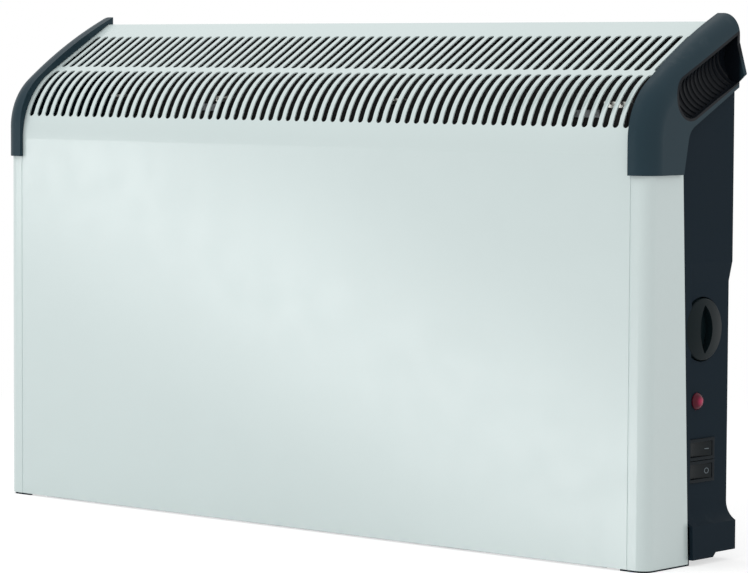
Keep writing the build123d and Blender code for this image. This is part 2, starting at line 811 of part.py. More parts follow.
# ---------------------------------------------------------------- fan and motor
def fan_impeller():
    """Cross-flow rotor: three discs joined by leaning blades, with a bored hub at each end."""
    solid = None
    for x in (fan_left, fan_left + fan_length / 2, fan_right - disc_sheet):
        disc = rod_x(fan_radius, x, x + disc_sheet, fan_y, fan_z)
        solid = disc if solid is None else solid + disc
    for index in range(fan_blades):
        turn = Pos(0, fan_y, fan_z) * Rot(360 / fan_blades * index, 0, 0)
        radius = fan_radius - blade_depth / 2 - 0.6
        blade = Pos((fan_left + fan_right) / 2, 0, radius) * Rot(blade_angle, 0, 0)
        solid = solid + turn * blade * Box(fan_length, blade_thickness, blade_depth)
    solid = solid + rod_x(7.0, fan_left, fan_left + 8, fan_y, fan_z)
    solid = solid + rod_x(7.0, fan_right - 8, fan_right, fan_y, fan_z)
    return solid - rod_x(shaft_radius + running, fan_left - 5, fan_right + 5, fan_y, fan_z)


def fan_housing():
    """Two end plates and a scroll round the fan's rear, open to the tray and upwards."""
    low = tray_top + seat
    half_depth = housing_radius + 3
    pieces = None
    for x in (fan_left - 3 - housing_sheet, fan_right + 3):
        plate = block(
            x, x + housing_sheet, fan_y - half_depth, fan_y + half_depth, low, fan_z + housing_radius
        )
        hole = bearing_radius + seat if x < 0 else bearing_radius + 3
        plate = plate - rod_x(hole, x - 2, x + 2, fan_y, fan_z)
        pieces = plate if pieces is None else pieces + plate
    x0, x1 = fan_left - 3.2, fan_right + 3.2
    scroll = rod_x(housing_radius + housing_sheet, x0, x1, fan_y, fan_z)
    scroll = scroll - rod_x(housing_radius, x0 - 5, x1 + 5, fan_y, fan_z)
    scroll = scroll & block(x0, x1, fan_y + 12, fan_y + 60, low, fan_z + 60)
    front = fan_y - half_depth
    cutoff = block(x0, x1, front, front + housing_sheet, fan_z, fan_z + housing_radius)
    tabs = block(x0 - 10, x0, fan_y - 12, fan_y + 12, low, low + housing_sheet)
    tabs = tabs + block(x1, x1 + 10, fan_y - 12, fan_y + 12, low, low + housing_sheet)
    return pieces + scroll + cutoff + tabs


def fan_bearing():
    """Plain bush in the housing's left end plate."""
    x0 = fan_left - 8
    bush = rod_x(bearing_radius, x0, fan_left - 0.6, fan_y, fan_z)
    flange = rod_x(bearing_radius + 2.5, x0, fan_left - 3 - housing_sheet - 0.2, fan_y, fan_z)
    return bush + flange - rod_x(shaft_radius + running, x0 - 5, fan_left + 5, fan_y, fan_z)


def motor_stator():
    """Laminated block with the rotor's bore."""
    middle_z = fan_z + 6
    stack = block(
        stator_left, stator_right, fan_y - stator_width / 2, fan_y + stator_width / 2,
        middle_z - stator_height / 2, middle_z + stator_height / 2,
    )
    window = block(
        stator_left - 5, stator_right + 5, fan_y - 9, fan_y + 9,
        middle_z + stator_height / 2 - 15, middle_z + stator_height / 2 - 7,
    )
    return stack - window - rod_x(
        rotor_radius + rotor_air_gap, stator_left - 5, stator_right + 5, fan_y, fan_z
    )


def motor_coil():
    """Winding round the stator's upper limb."""
    top = fan_z + 6 + stator_height / 2
    outer = block(stator_left - 7, stator_right + 7, fan_y - 8.6, fan_y + 8.6, top - 14.6, top + 6.5)
    limb = block(
        stator_left - seat, stator_right + seat, fan_y - 10, fan_y + 10, top - 7 - seat, top + seat
    )
    return outer - limb


def motor_bracket(x, outward):
    """Strip across the stator's end with a bearing for the shaft."""
    x1 = x + 2 if outward else x - 2
    low, high = min(x, x1), max(x, x1)
    strip = block(low, high, fan_y - 24, fan_y + 24, fan_z - 8, fan_z + 8)
    boss_end = x1 + 5 if outward else x1 - 5
    boss = rod_x(bearing_radius, min(x1, boss_end), max(x1, boss_end), fan_y, fan_z)
    legs = None
    for y in (-21, 21):
        reach = stator_right + seat if outward else stator_left - seat
        leg = block(min(low, reach), max(high, reach), fan_y + y - 3, fan_y + y + 3, fan_z - 5, fan_z + 5)
        legs = leg if legs is None else legs + leg
    bracket = strip + boss + legs
    return bracket - rod_x(shaft_radius + running, x - 20, x + 20, fan_y, fan_z)


def motor_base():
    """Folded foot that holds the stator on the base tray."""
    low = tray_top + seat
    top = fan_z + 6 - stator_height / 2 - seat
    plate = block(stator_left - 2, stator_right + 2, fan_y - 26, fan_y + 26, top - 1.5, top)
    for y in (-26, 24.5):
        plate = plate + block(stator_left - 2, stator_right + 2, fan_y + y, fan_y + y + 1.5, low, top)
        reach = -8 if y < 0 else 9.5
        y0, y1 = sorted((fan_y + y, fan_y + y + reach))
        plate = plate + block(stator_left - 2, stator_right + 2, y0, y1, low, low + 1.5)
    return plate


# ---------------------------------------------------------------- controls
def thermostat_knob():
    """Round knob with a rounded rim, a gently domed face and a long finger slot across it."""
    y, z = knob_place
    face_radius = knob_radius - knob_edge
    sphere_radius = (face_radius**2 + knob_dome**2) / (2 * knob_dome)
    middle = knob_rim + knob_dome - sphere_radius + sqrt(sphere_radius**2 - face_radius**2 / 4)
    profile = [
        Line((0, knob_back), (knob_radius, knob_back)),
        Line((knob_radius, knob_back), (knob_radius, knob_rim - knob_edge)),
        CenterArc((face_radius, knob_rim - knob_edge), knob_edge, 0, 90),
        ThreePointArc((face_radius, knob_rim), (face_radius / 2, middle), (0, knob_rim + knob_dome)),
        Line((0, knob_rim + knob_dome), (0, knob_back)),
    ]
    turned = revolve(make_face(Curve() + profile), axis=Axis.Y)
    body = Pos(0, y, z) * Rot(0, 0, -90) * turned
    eye_radius = (eye_height**2 / 4 + eye_width**2 / 4) / eye_width
    offset = eye_radius - eye_width / 2
    eye_front = knob_rim + knob_dome - eye_depth
    eye = rod_x(eye_radius, eye_front, knob_rim + 10, y - offset, z)
    eye = eye & rod_x(eye_radius, eye_front, knob_rim + 10, y + offset, z)
    pocket = rod_x(nut_flats * 0.75, knob_back - 1, knob_back + nut_thickness + 1.5, y, z)
    body = body - eye - pocket
    return body - rod_x(spindle_radius + running, knob_back - 2, spindle_end + seat, y, z)


def thermostat_spindle():
    """Spindle from the thermostat into the knob."""
    return rod_x(spindle_radius, thermostat_front - 8, spindle_end, *knob_place)


def thermostat_body():
    """Thermostat case with its threaded bush through the side panel."""
    y, z = knob_place
    depth, height, length = thermostat_box
    case = block(
        thermostat_front - length, thermostat_front, y - depth / 2, y + depth / 2,
        z - height / 2, z + height / 2,
    )
    for side in (-1, 1):
        blade = block(
            thermostat_front - length - 7, thermostat_front - length,
            y + side * 8 - 3.2, y + side * 8 + 3.2, z - 12, z - 11.2,
        )
        case = case + blade
    case = case + rod_x(bush_radius, thermostat_front, well_floor + nut_thickness + 1, y, z)
    return case - rod_x(
        spindle_radius + running, thermostat_front - 8 - seat, well_floor + 10, y, z
    )


def thermostat_nut():
    """Hexagon nut on the thermostat's bush, under the knob."""
    y, z = knob_place
    across = nut_flats / 2 / cos(radians(30))
    hexagon = extrude(RegularPolygon(across, 6), amount=nut_thickness)
    nut = Pos(well_floor + 0.05, y, z) * Rot(0, 90, 0) * hexagon
    return nut - rod_x(bush_radius + running, well_floor - 5, well_floor + 10, y, z)


def neon_lens():
    """Domed lens with a stem through the side panel."""
    y, z = neon_place
    sphere_radius = (neon_radius**2 + neon_proud**2) / (2 * neon_proud)
    seat_face = recess_face + 0.02
    front = recess_face + 0.9
    middle = front + neon_proud - sphere_radius + sqrt(sphere_radius**2 - neon_radius**2 / 4)
    profile = [
        Line((0, recess_face - 8), (neon_stem, recess_face - 8)),
        Line((neon_stem, recess_face - 8), (neon_stem, seat_face)),
        Line((neon_stem, seat_face), (neon_radius, seat_face)),
        Line((neon_radius, seat_face), (neon_radius, front)),
        ThreePointArc((neon_radius, front), (neon_radius / 2, middle), (0, front + neon_proud)),
        Line((0, front + neon_proud), (0, recess_face - 8)),
    ]
    turned = revolve(make_face(Curve() + profile), axis=Axis.Y)
    return Pos(0, y, z) * Rot(0, 0, -90) * turned


def neon_holder():
    """Lamp body clipped behind the lens, with two blades."""
    y, z = neon_place
    rear = recess_face - 8 - seat
    body = rod_x(neon_stem + 0.6, rear - neon_holder_length, rear, y, z)
    for side in (-1, 1):
        body = body + block(
            rear - neon_holder_length - 7, rear - neon_holder_length + 0.5,
            y + side * 2.6 - 0.4, y + side * 2.6 + 0.4, z - 2.4, z + 2.4,
        )
    return body


def switch_frame(z):
    """Bezel and body of one rocker switch, with the rocker's well and pin holes."""
    face = recess_face + switch_flange
    bezel = block(
        recess_face + 0.02, face, switch_y - switch_length / 2, switch_y + switch_length / 2,
        z - switch_height / 2, z + switch_height / 2,
    )
    bezel = fillet(
        [edge for edge in bezel.edges() if abs(edge.center().X - face) < 0.01], 0.6
    )
    body = block(
        recess_face - switch_depth, recess_face + 0.5,
        switch_y - switch_body_length / 2, switch_y + switch_body_length / 2,
        z - switch_body_height / 2, z + switch_body_height / 2,
    )
    for side in (-1, 0, 1):
        body = body + block(
            recess_face - switch_depth - 8, recess_face - switch_depth,
            switch_y + side * 9 - 0.4, switch_y + side * 9 + 0.4, z - 3, z + 3,
        )
    well = block(
        rocker_pivot - 10.5, face + 5,
        switch_y - rocker_length / 2 - 1.0, switch_y + rocker_length / 2 + 1.0,
        z - rocker_height / 2 - seat, z + rocker_height / 2 + seat,
    )
    pin = Pos(rocker_pivot, switch_y, z) * Cylinder(rocker_pin + running, rocker_height + 1.4)
    return bezel + body - well - pin


def rocker(z):
    """Rocker key with its hollowed face and two pivot pins, leaning as it rests."""
    half_length = rocker_length / 2
    edges = [
        Line((4.6, -half_length), (4.6, half_length)),
        Line((4.6, half_length), (-2.5, half_length * 0.72)),
        Line((-2.5, half_length * 0.72), (-6.0, 3.0)),
        Line((-6.0, 3.0), (-6.0, -3.0)),
        Line((-6.0, -3.0), (-2.5, -half_length * 0.72)),
        Line((-2.5, -half_length * 0.72), (4.6, -half_length)),
    ]
    key = Pos(0, 0, -rocker_height / 2) * extrude(make_face(Curve() + edges), amount=rocker_height)
    scoop_radius = 66.0
    key = key - Pos(4.6 + scoop_radius - rocker_scoop, 0, 0) * Cylinder(scoop_radius, 30)
    key = key + Cylinder(rocker_pin, rocker_height + 1.2)
    return Pos(rocker_pivot, switch_y, z) * Rot(0, 0, -rocker_tilt) * key


# ---------------------------------------------------------------- electrical pieces
def cable_gland():
    """Bush through the back panel for the supply cable."""
    x, z = gland_place
    bush = rod_y(gland_radius, x, back_front - 6, rear_y - 1, z)
    flange = rod_y(gland_flange, x, back_rear + 0.05, rear_y - 1, z)
    nut = rod_y(gland_flange, x, back_front - 5, back_front - 0.5, z)
    return bush + flange + nut - rod_y(gland_bore, x, back_front - 20, rear_y + 5, z)


def terminal_block():
    """Three-way block on the right partition, with open screw wells."""
    x0 = partition_x + partition_sheet + 0.1
    y0, z0 = 58.0, 22.0
    body = block(x0, x0 + 15, y0, y0 + 33, z0, z0 + 20)
    tools = []
    for index in range(3):
        y = y0 + 6 + index * 10.5
        tools.append(rod_x(2.6, x0 + 7, x0 + 20, y, z0 + 10))
    return body - tools


def terminal_screws():
    """Brass screws in the terminal block."""
    x0 = partition_x + partition_sheet + 0.1
    return [rod_x(2.3, x0 + 7.1, x0 + 12, 58.0 + 6 + index * 10.5, 32.0) for index in range(3)]


def thermal_cutout():
    """Disc cut-out clipped to the rear shield above the elements."""
    rear = rear_shield_y - seat
    disc = rod_y(8.0, cutout_place[0], rear - 9, rear - 1.2, cutout_place[1])
    plate = block(
        cutout_place[0] - 14, cutout_place[0] + 14, rear - 1.3, rear,
        cutout_place[1] - 8, cutout_place[1] + 8,
    )
    blades = block(
        cutout_place[0] - 6, cutout_place[0] - 5.2, rear - 15, rear - 8.8,
        cutout_place[1] - 3, cutout_place[1] + 3,
    )
    pair = blades + Pos(11.2, 0, 0) * blades
    return disc + plate + pair


def wire(points, radius):
    """Insulated wire along straight runs joined by arcs."""
    path = FilletPolyline(*points, radius=wire_bend)
    return sweep(Plane(origin=path @ 0, z_dir=path % 0) * Circle(radius), path=path)


def internal_wiring():
    """Wires from the terminal block to the switches, the lamp and the thermostat."""
    start_x = partition_x + partition_sheet + 0.1 + 15 + seat
    blade_y = neon_place[0] - 2.6
    rear_switch = recess_face - switch_depth - 8 - seat
    low_switch, high_switch = switch_heights
    rear_neon = recess_face - 8 - seat - neon_holder_length - 7 - seat
    turn_x = (start_x + rear_switch) / 2
    front_y, rear_way = switch_y - 9, switch_y + 9
    return [
        wire([
            (start_x, 64.0, 38.0), (turn_x, 64.0, 38.0),
            (turn_x, front_y, low_switch), (rear_switch, front_y, low_switch),
        ], 1.2),
        wire([
            (start_x, 85.0, 38.0), (turn_x, 85.0, 38.0),
            (turn_x, rear_way, high_switch), (rear_switch, rear_way, high_switch),
        ], 1.2),
        wire([
            (rear_neon, blade_y, neon_place[1]), (rear_neon - 3, blade_y, neon_place[1]),
            (rear_neon - 3, blade_y, knob_place[1] - 12 - seat),
        ], 1.2),
    ]


# ---------------------------------------------------------------- write the parts
os.makedirs("parts", exist_ok=True)
save("front_panel", front_panel())
cap = right_end_cap()
save("right_end_cap", cap)
save("left_end_cap", other_side(cap))
save("right_side_panel", right_side_panel())
save("left_side_panel", other_side(plain_side_panel()))
save("base_tray", base_tray())
save("back_panel", back_panel())
save("wall_bracket", wall_bracket())
save("right_partition", right_partition(True))
save("left_partition", other_side(right_partition(False)))
save("front_heat_shield", front_heat_shield())
save("rear_heat_shield", rear_heat_shield())
save("lower_heating_element", heating_element(element_heights[0]))
save("upper_heating_element", heating_element(element_heights[1]))
save("element_terminals", *element_terminals())
for name, x in zip(("left", "middle", "right"), support_places):
    save(f"{name}_element_support", element_support(x))
save("fan_impeller", fan_impeller())
save("fan_shaft", rod_x(shaft_radius, fan_left - 7, stator_right + 16, fan_y, fan_z))
save("fan_housing", fan_housing())
save("fan_bearing", fan_bearing())
save("motor_rotor", rod_x(rotor_radius, stator_left - 1, stator_right + 1, fan_y, fan_z)
     - rod_x(shaft_radius + running, stator_left - 5, stator_right + 5, fan_y, fan_z))
save("motor_stator", motor_stator())
save("motor_coil", motor_coil())
save("motor_inner_bracket", motor_bracket(stator_left - 8, False))
save("motor_outer_bracket", motor_bracket(stator_right + 8, True))
save("motor_base", motor_base())
save("thermostat_knob", thermostat_knob())
save("thermostat_spindle", thermostat_spindle())
save("thermostat_body", thermostat_body())
save("thermostat_nut", thermostat_nut())
save("neon_lens", neon_lens())
save("neon_holder", neon_holder())
for name, z in zip(("fan", "heat"), switch_heights):
    save(f"{name}_switch_frame", switch_frame(z))
    save(f"{name}_switch_rocker", rocker(z))
save("cable_gland", cable_gland())
save("terminal_block", terminal_block())
save("terminal_screws", *terminal_screws())
save("thermal_cutout", thermal_cutout())
save("internal_wiring", *internal_wiring())
case_screws = [rear_screw(case_screw_x, z) for z in case_screw_heights]
save("case_screws", *case_screws, *[other_side(screw) for screw in case_screws])
end_screw = rear_screw(*cap_screw)
save("end_cap_screws", end_screw, other_side(end_screw))
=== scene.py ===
import json
import math

import bpy
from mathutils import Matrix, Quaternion, Vector


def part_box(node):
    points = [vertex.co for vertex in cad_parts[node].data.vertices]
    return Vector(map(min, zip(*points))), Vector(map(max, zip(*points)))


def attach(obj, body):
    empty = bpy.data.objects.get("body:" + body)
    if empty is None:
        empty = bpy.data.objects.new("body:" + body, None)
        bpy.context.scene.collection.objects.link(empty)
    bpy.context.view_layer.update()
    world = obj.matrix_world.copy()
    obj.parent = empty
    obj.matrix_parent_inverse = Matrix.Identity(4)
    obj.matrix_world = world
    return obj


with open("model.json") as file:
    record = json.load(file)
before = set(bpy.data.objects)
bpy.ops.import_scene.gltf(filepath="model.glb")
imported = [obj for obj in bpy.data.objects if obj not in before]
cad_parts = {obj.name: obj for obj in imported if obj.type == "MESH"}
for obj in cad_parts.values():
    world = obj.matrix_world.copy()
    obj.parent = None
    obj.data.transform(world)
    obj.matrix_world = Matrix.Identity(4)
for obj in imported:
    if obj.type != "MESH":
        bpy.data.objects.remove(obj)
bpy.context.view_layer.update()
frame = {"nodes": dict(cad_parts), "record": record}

bl_info = {
    "name": "Fan convector heater",
    "version": (1, 0, 0),
    "blender": (4, 5, 0),
    "location": "View3D > Sidebar > Heater",
    "description": "Finishes and fine detail for a slotted fan convector heater",
    "category": "Object",
}

NODES = frame["nodes"]
MM = 0.001
# The mirrored card's corners: low left, low right, high left, high right.
SHEEN_CORNERS = (
    Vector((-1.85, -1.397, 0.125)), Vector((-0.66, -1.67, -0.56)),
    Vector((-1.85, -1.398, 0.48)), Vector((-0.60, -1.70, -0.10)),
)
# Axis of the right cap's finger hollow: where it starts, its slope and how far its ribs reach.
HOLLOW_START = Vector((0.343, -0.0054, 0.3442))
HOLLOW_SLOPE = math.radians(26)
HOLLOW_REACH = 17.9 * MM
# A switch key's hollow face, in millimetres from its pivot, and its lean at rest.
FACE_CENTRE = 69.4
FACE_RADIUS = 66.0
MARK_DEPTH = 8.0
KEY_LEAN = math.radians(-7.0)
MARKS = {"fan_key": "ring", "heat_key": "bar"}
PIVOTS = {
    joint["child"]: Vector(joint["pos_m"]) for joint in frame["record"]["behaviour"]["joints"]
}
CAMERA_PLACE = Vector((1.76320, -1.99636, 0.36813))
CAMERA_TARGET = Vector((0.03132, -0.0015, 0.19165))
CAMERA_ROLL = Quaternion((0, 0, 1), 0.00498)
CAMERA_LENS = 161.38
LAMP_PLACE = Vector((-1.6, -2.4, 2.4))
LAMP_TARGET = Vector((0, 0, 0.2))


def display(red, green, blue):
    """Linear colour of a display colour given in 0 to 255."""
    steps = [value / 255 for value in (red, green, blue)]
    return tuple(v / 12.92 if v <= 0.04045 else ((v + 0.055) / 1.055) ** 2.4 for v in steps)


# ---------------------------------------------------------------- settings
class FinishSettings(bpy.types.PropertyGroup):
    """Colours and gloss of the heater's materials."""

    enamel: bpy.props.FloatVectorProperty(
        name="Panel enamel", description="Colour of the folded front panel",
        subtype="COLOR", size=3, min=0, max=1, default=display(208, 221, 220),
    )
    enamel_gloss: bpy.props.FloatProperty(
        name="Enamel roughness", description="Roughness of the enamel",
        subtype="FACTOR", min=0, max=1, default=0.2,
    )
    cap: bpy.props.FloatVectorProperty(
        name="End cap", description="Colour of the moulded end caps",
        subtype="COLOR", size=3, min=0, max=1, default=display(33, 53, 62),
    )
    side: bpy.props.FloatVectorProperty(
        name="Side panel", description="Colour of the moulded side panels",
        subtype="COLOR", size=3, min=0, max=1, default=display(20, 33, 42),
    )
    knob: bpy.props.FloatVectorProperty(
        name="Knob", description="Colour of the thermostat knob",
        subtype="COLOR", size=3, min=0, max=1, default=display(15, 26, 29),
    )
    lens: bpy.props.FloatVectorProperty(
        name="Lamp lens", description="Colour of the indicator's lens",
        subtype="COLOR", size=3, min=0, max=1, default=display(84, 4, 30),
    )
    steel: bpy.props.FloatVectorProperty(
        name="Galvanised steel", description="Colour of the inner and rear sheets",
        subtype="COLOR", size=3, min=0, max=1, default=display(168, 172, 174),
    )


class MarkSettings(bpy.types.PropertyGroup):
    """Sizes of the raised marks on the switch keys."""

    ring_radius: bpy.props.FloatProperty(
        name="Ring radius", description="Radius of the off mark",
        unit="LENGTH", min=0.0005, max=0.005, default=1.9 * MM,
    )
    bar_length: bpy.props.FloatProperty(
        name="Bar length", description="Length of the on mark",
        unit="LENGTH", min=0.001, max=0.01, default=4.4 * MM,
    )
    stroke: bpy.props.FloatProperty(
        name="Stroke", description="Width of a mark's line",
        unit="LENGTH", min=0.0002, max=0.002, default=0.7 * MM,
    )


class StudioSettings(bpy.types.PropertyGroup):
    """Light and floor of the plain studio."""

    surround: bpy.props.FloatProperty(
        name="Surround", description="Strength of the even light from all round",
        min=0, max=5, default=0.85,
    )
    key: bpy.props.FloatProperty(
        name="Key lamp", description="Power of the large soft lamp",
        unit="POWER", min=0, max=500, default=29.0,
    )
    sheen: bpy.props.FloatProperty(
        name="Sheen card", description="Strength of the card mirrored in the enamel",
        min=0, max=40, default=6.0,
    )


# ---------------------------------------------------------------- shader helpers
def clear_selection():
    """Deselect everything, so that an operator only acts on what it adds."""
    bpy.ops.object.select_all(action="DESELECT")


def node_group(name, inputs, outputs):
    """A new shader group with named inputs (name, type, default) and outputs (name, type)."""
    group = bpy.data.node_groups.new(name, "ShaderNodeTree")
    for label, kind, value in inputs:
        socket = group.interface.new_socket(label, in_out="INPUT", socket_type=kind)
        socket.default_value = value
    for label, kind in outputs:
        group.interface.new_socket(label, in_out="OUTPUT", socket_type=kind)
    entry = group.nodes.new("NodeGroupInput")
    leave = group.nodes.new("NodeGroupOutput")
    return group, entry, leave


def maths(tree, operation, first, second=None, third=None):
    """A Math node fed by sockets or numbers; returns its output."""
    node = tree.nodes.new("ShaderNodeMath")
    node.operation = operation
    for index, value in enumerate((first, second, third)):
        if value is None:
            continue
        if isinstance(value, bpy.types.NodeSocket):
            tree.links.new(value, node.inputs[index])
        else:
            node.inputs[index].default_value = value
    return node.outputs[0]


def noise(tree, vector, scale, detail=2.0, roughness=0.5):
    """A Noise Texture's factor. Scale is a socket or a number."""
    node = tree.nodes.new("ShaderNodeTexNoise")
    node.inputs["Detail"].default_value = detail
    node.inputs["Roughness"].default_value = roughness
    tree.links.new(vector, node.inputs["Vector"])
    if isinstance(scale, bpy.types.NodeSocket):
        tree.links.new(scale, node.inputs["Scale"])
    else:
        node.inputs["Scale"].default_value = scale
    return node.outputs["Fac"]


def spread(tree, value, low, high, to_low=0.0, to_high=1.0):
    """Map Range of a socket, clamped and smoothed."""
    node = tree.nodes.new("ShaderNodeMapRange")
    node.interpolation_type = "SMOOTHSTEP"
    tree.links.new(value, node.inputs["Value"])
    for label, number in (
        ("From Min", low), ("From Max", high), ("To Min", to_low), ("To Max", to_high)
    ):
        node.inputs[label].default_value = number
    return node.outputs["Result"]


def mix_colour(tree, factor, first, second):
    """Mix of two colours; each is a socket or a linear colour."""
    node = tree.nodes.new("ShaderNodeMix")
    node.data_type = "RGBA"
    for label, value in (("Factor", factor), ("A", first), ("B", second)):
        socket = [s for s in node.inputs if s.name == label and s.enabled][0]
        if isinstance(value, bpy.types.NodeSocket):
            tree.links.new(value, socket)
        elif label == "Factor":
            socket.default_value = value
        else:
            socket.default_value = (*value, 1.0)
    return [s for s in node.outputs if s.enabled][0]


def object_place(tree):
    """Object coordinates."""
    return tree.nodes.new("ShaderNodeTexCoord").outputs["Object"]


SURFACE_OUTPUTS = [
    ("Colour", "NodeSocketColor"), ("Roughness", "NodeSocketFloat"), ("Height", "NodeSocketFloat"),
]


def split_place(tree):
    """Object coordinates as separate X, Y and Z outputs."""
    place = tree.nodes.new("ShaderNodeSeparateXYZ")
    tree.links.new(object_place(tree), place.inputs[0])
    return place.outputs


def overlay(tree, mask, colour):
    """Lay a colour over the shader's own where the mask is 1."""
    shader = tree.nodes["Principled BSDF"]
    shown = shader.inputs["Base Color"].links[0].from_socket
    tree.links.new(mix_colour(tree, mask, shown, colour), shader.inputs["Base Color"])


def moulding_group():
    """Group for moulded surfaces: fine grain, cloudy tone and settled dust."""
    group, entry, leave = node_group(
        "moulding_surface",
        [
            ("Colour", "NodeSocketColor", (0.05, 0.07, 0.09, 1)),
            ("Grain scale", "NodeSocketFloat", 1800.0),
            ("Tone spread", "NodeSocketFloat", 0.12),
            ("Dust", "NodeSocketFloat", 0.1),
            ("Roughness", "NodeSocketFloat", 0.45),
        ],
        SURFACE_OUTPUTS,
    )
    place = object_place(group)
    cloud = noise(group, place, 14.0, 3.0)
    fine = noise(group, place, entry.outputs["Grain scale"], 1.0)
    tone = maths(group, "SUBTRACT", cloud, 0.5)
    tone = maths(group, "MULTIPLY", tone, entry.outputs["Tone spread"])
    bright = maths(group, "ADD", 1.0, tone)
    scale = group.nodes.new("ShaderNodeVectorMath")
    scale.operation = "SCALE"
    group.links.new(entry.outputs["Colour"], scale.inputs[0])
    group.links.new(bright, scale.inputs["Scale"])
    facing = group.nodes.new("ShaderNodeNewGeometry")
    upward = group.nodes.new("ShaderNodeSeparateXYZ")
    group.links.new(facing.outputs["Normal"], upward.inputs[0])
    flat = spread(group, upward.outputs["Z"], 0.3, 1.0)
    specks = spread(group, noise(group, place, 90.0, 4.0, 0.6), 0.5, 0.75)
    mask = maths(group, "MULTIPLY", maths(group, "MULTIPLY", flat, specks), entry.outputs["Dust"])
    colour = mix_colour(group, mask, scale.outputs[0], display(190, 196, 196))
    group.links.new(colour, leave.inputs["Colour"])
    rough = maths(group, "ADD", entry.outputs["Roughness"], maths(group, "MULTIPLY", tone, 0.8))
    rough = maths(group, "ADD", rough, maths(group, "MULTIPLY", mask, 0.3))
    group.links.new(rough, leave.inputs["Roughness"])
    group.links.new(fine, leave.inputs["Height"])
    return group


def metal_group():
    """Group for sheet and turned metal: spangle, streaks along X and faint stains."""
    group, entry, leave = node_group(
        "metal_surface",
        [
            ("Colour", "NodeSocketColor", (0.4, 0.4, 0.4, 1)),
            ("Spangle scale", "NodeSocketFloat", 120.0),
            ("Spangle", "NodeSocketFloat", 0.15),
            ("Stain", "NodeSocketFloat", 0.2),
            ("Roughness", "NodeSocketFloat", 0.4),
        ],
        SURFACE_OUTPUTS,
    )
    place = object_place(group)
    cells = group.nodes.new("ShaderNodeTexVoronoi")
    group.links.new(place, cells.inputs["Vector"])
    group.links.new(entry.outputs["Spangle scale"], cells.inputs["Scale"])
    grey = group.nodes.new("ShaderNodeSeparateColor")
    group.links.new(cells.outputs["Color"], grey.inputs[0])
    facet = maths(group, "SUBTRACT", grey.outputs[0], 0.5)
    facet = maths(group, "MULTIPLY", facet, entry.outputs["Spangle"])
    stretch = group.nodes.new("ShaderNodeMapping")
    stretch.inputs["Scale"].default_value = (6.0, 220.0, 220.0)
    group.links.new(place, stretch.inputs["Vector"])
    lines = noise(group, stretch.outputs[0], 1.0, 2.0)
    stain = spread(group, noise(group, place, 9.0, 4.0, 0.6), 0.45, 0.75)
    stain = maths(group, "MULTIPLY", stain, entry.outputs["Stain"])
    bright = maths(group, "SUBTRACT", maths(group, "ADD", 1.0, facet), stain)
    scale = group.nodes.new("ShaderNodeVectorMath")
    scale.operation = "SCALE"
    group.links.new(entry.outputs["Colour"], scale.inputs[0])
    group.links.new(bright, scale.inputs["Scale"])
    group.links.new(scale.outputs[0], leave.inputs["Colour"])
    rough = maths(group, "ADD", entry.outputs["Roughness"], maths(group, "MULTIPLY", facet, 0.5))
    rough = maths(group, "ADD", rough, maths(group, "MULTIPLY", stain, 0.5))
    group.links.new(rough, leave.inputs["Roughness"])
    group.links.new(lines, leave.inputs["Height"])
    return group


def surface(name, group, values, bump=0.05, distance=0.0002, **sockets):
    """A Principled material fed by a surface group. Other sockets are set on the shader."""
    material = bpy.data.materials.new(name)
    material.use_nodes = True
    tree = material.node_tree
    shader = tree.nodes["Principled BSDF"]
    effect = tree.nodes.new("ShaderNodeGroup")
    effect.node_tree = group
    for label, value in values.items():
        effect.inputs[label].default_value = value
    tree.links.new(effect.outputs["Colour"], shader.inputs["Base Color"])
    tree.links.new(effect.outputs["Roughness"], shader.inputs["Roughness"])
    relief = tree.nodes.new("ShaderNodeBump")
    relief.inputs["Strength"].default_value = bump
    relief.inputs["Distance"].default_value = distance
    tree.links.new(effect.outputs["Height"], relief.inputs["Height"])
    tree.links.new(relief.outputs["Normal"], shader.inputs["Normal"])
    for label, value in sockets.items():
        shader.inputs[label.replace("_", " ")].default_value = value
    return material


def banded_metal(name, group, pale, painted_shade, axis, low, high):
    """Metal that turns along an axis, with a soft line, from its own colour to a painted shade
    below, which is matt and not metallic.
    """
    material = surface(
        name, group, {"Colour": rgba(pale), "Spangle": 0.16, "Roughness": 0.42},
        bump=0.08, Metallic=1.0,
    )
    tree = material.node_tree
    shader = tree.nodes["Principled BSDF"]
    mask = spread(tree, split_place(tree)[axis], low, high)
    shown = shader.inputs["Base Color"].links[0].from_socket
    tree.links.new(mix_colour(tree, mask, painted_shade, shown), shader.inputs["Base Color"])
    tree.links.new(mask, shader.inputs["Metallic"])
    rough = shader.inputs["Roughness"].links[0].from_socket
    matt = maths(tree, "MULTIPLY_ADD", maths(tree, "SUBTRACT", 1.0, mask), 0.4, rough)
    tree.links.new(matt, shader.inputs["Roughness"])
    return material


def rgba(colour):
    """A colour with full alpha."""
    return (*colour, 1.0)


def dress(material, *names):
    """Give CAD nodes one material."""
    for name in names:
        slots = NODES[name].data.materials
        slots.clear()
        slots.append(material)


# ---------------------------------------------------------------- materials
def inner_face(tree):
    """Mask of a folded sheet's inner side, which faces back and down into the heater; the enamel
    paints shade there.
    """
    facing = tree.nodes.new("ShaderNodeNewGeometry")
    inward = tree.nodes.new("ShaderNodeVectorMath")
    inward.operation = "DOT_PRODUCT"
    inward.inputs[1].default_value = (0.0, 0.86, -0.5)
    tree.links.new(facing.outputs["Normal"], inward.inputs[0])
    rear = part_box("front_panel")[1][1] - 6 * MM
    inside = spread(tree, split_place(tree)["Y"], rear, rear + MM, 1.0, 0.0)
    return maths(tree, "MULTIPLY", spread(tree, inward.outputs["Value"], 0.35, 0.6), inside)


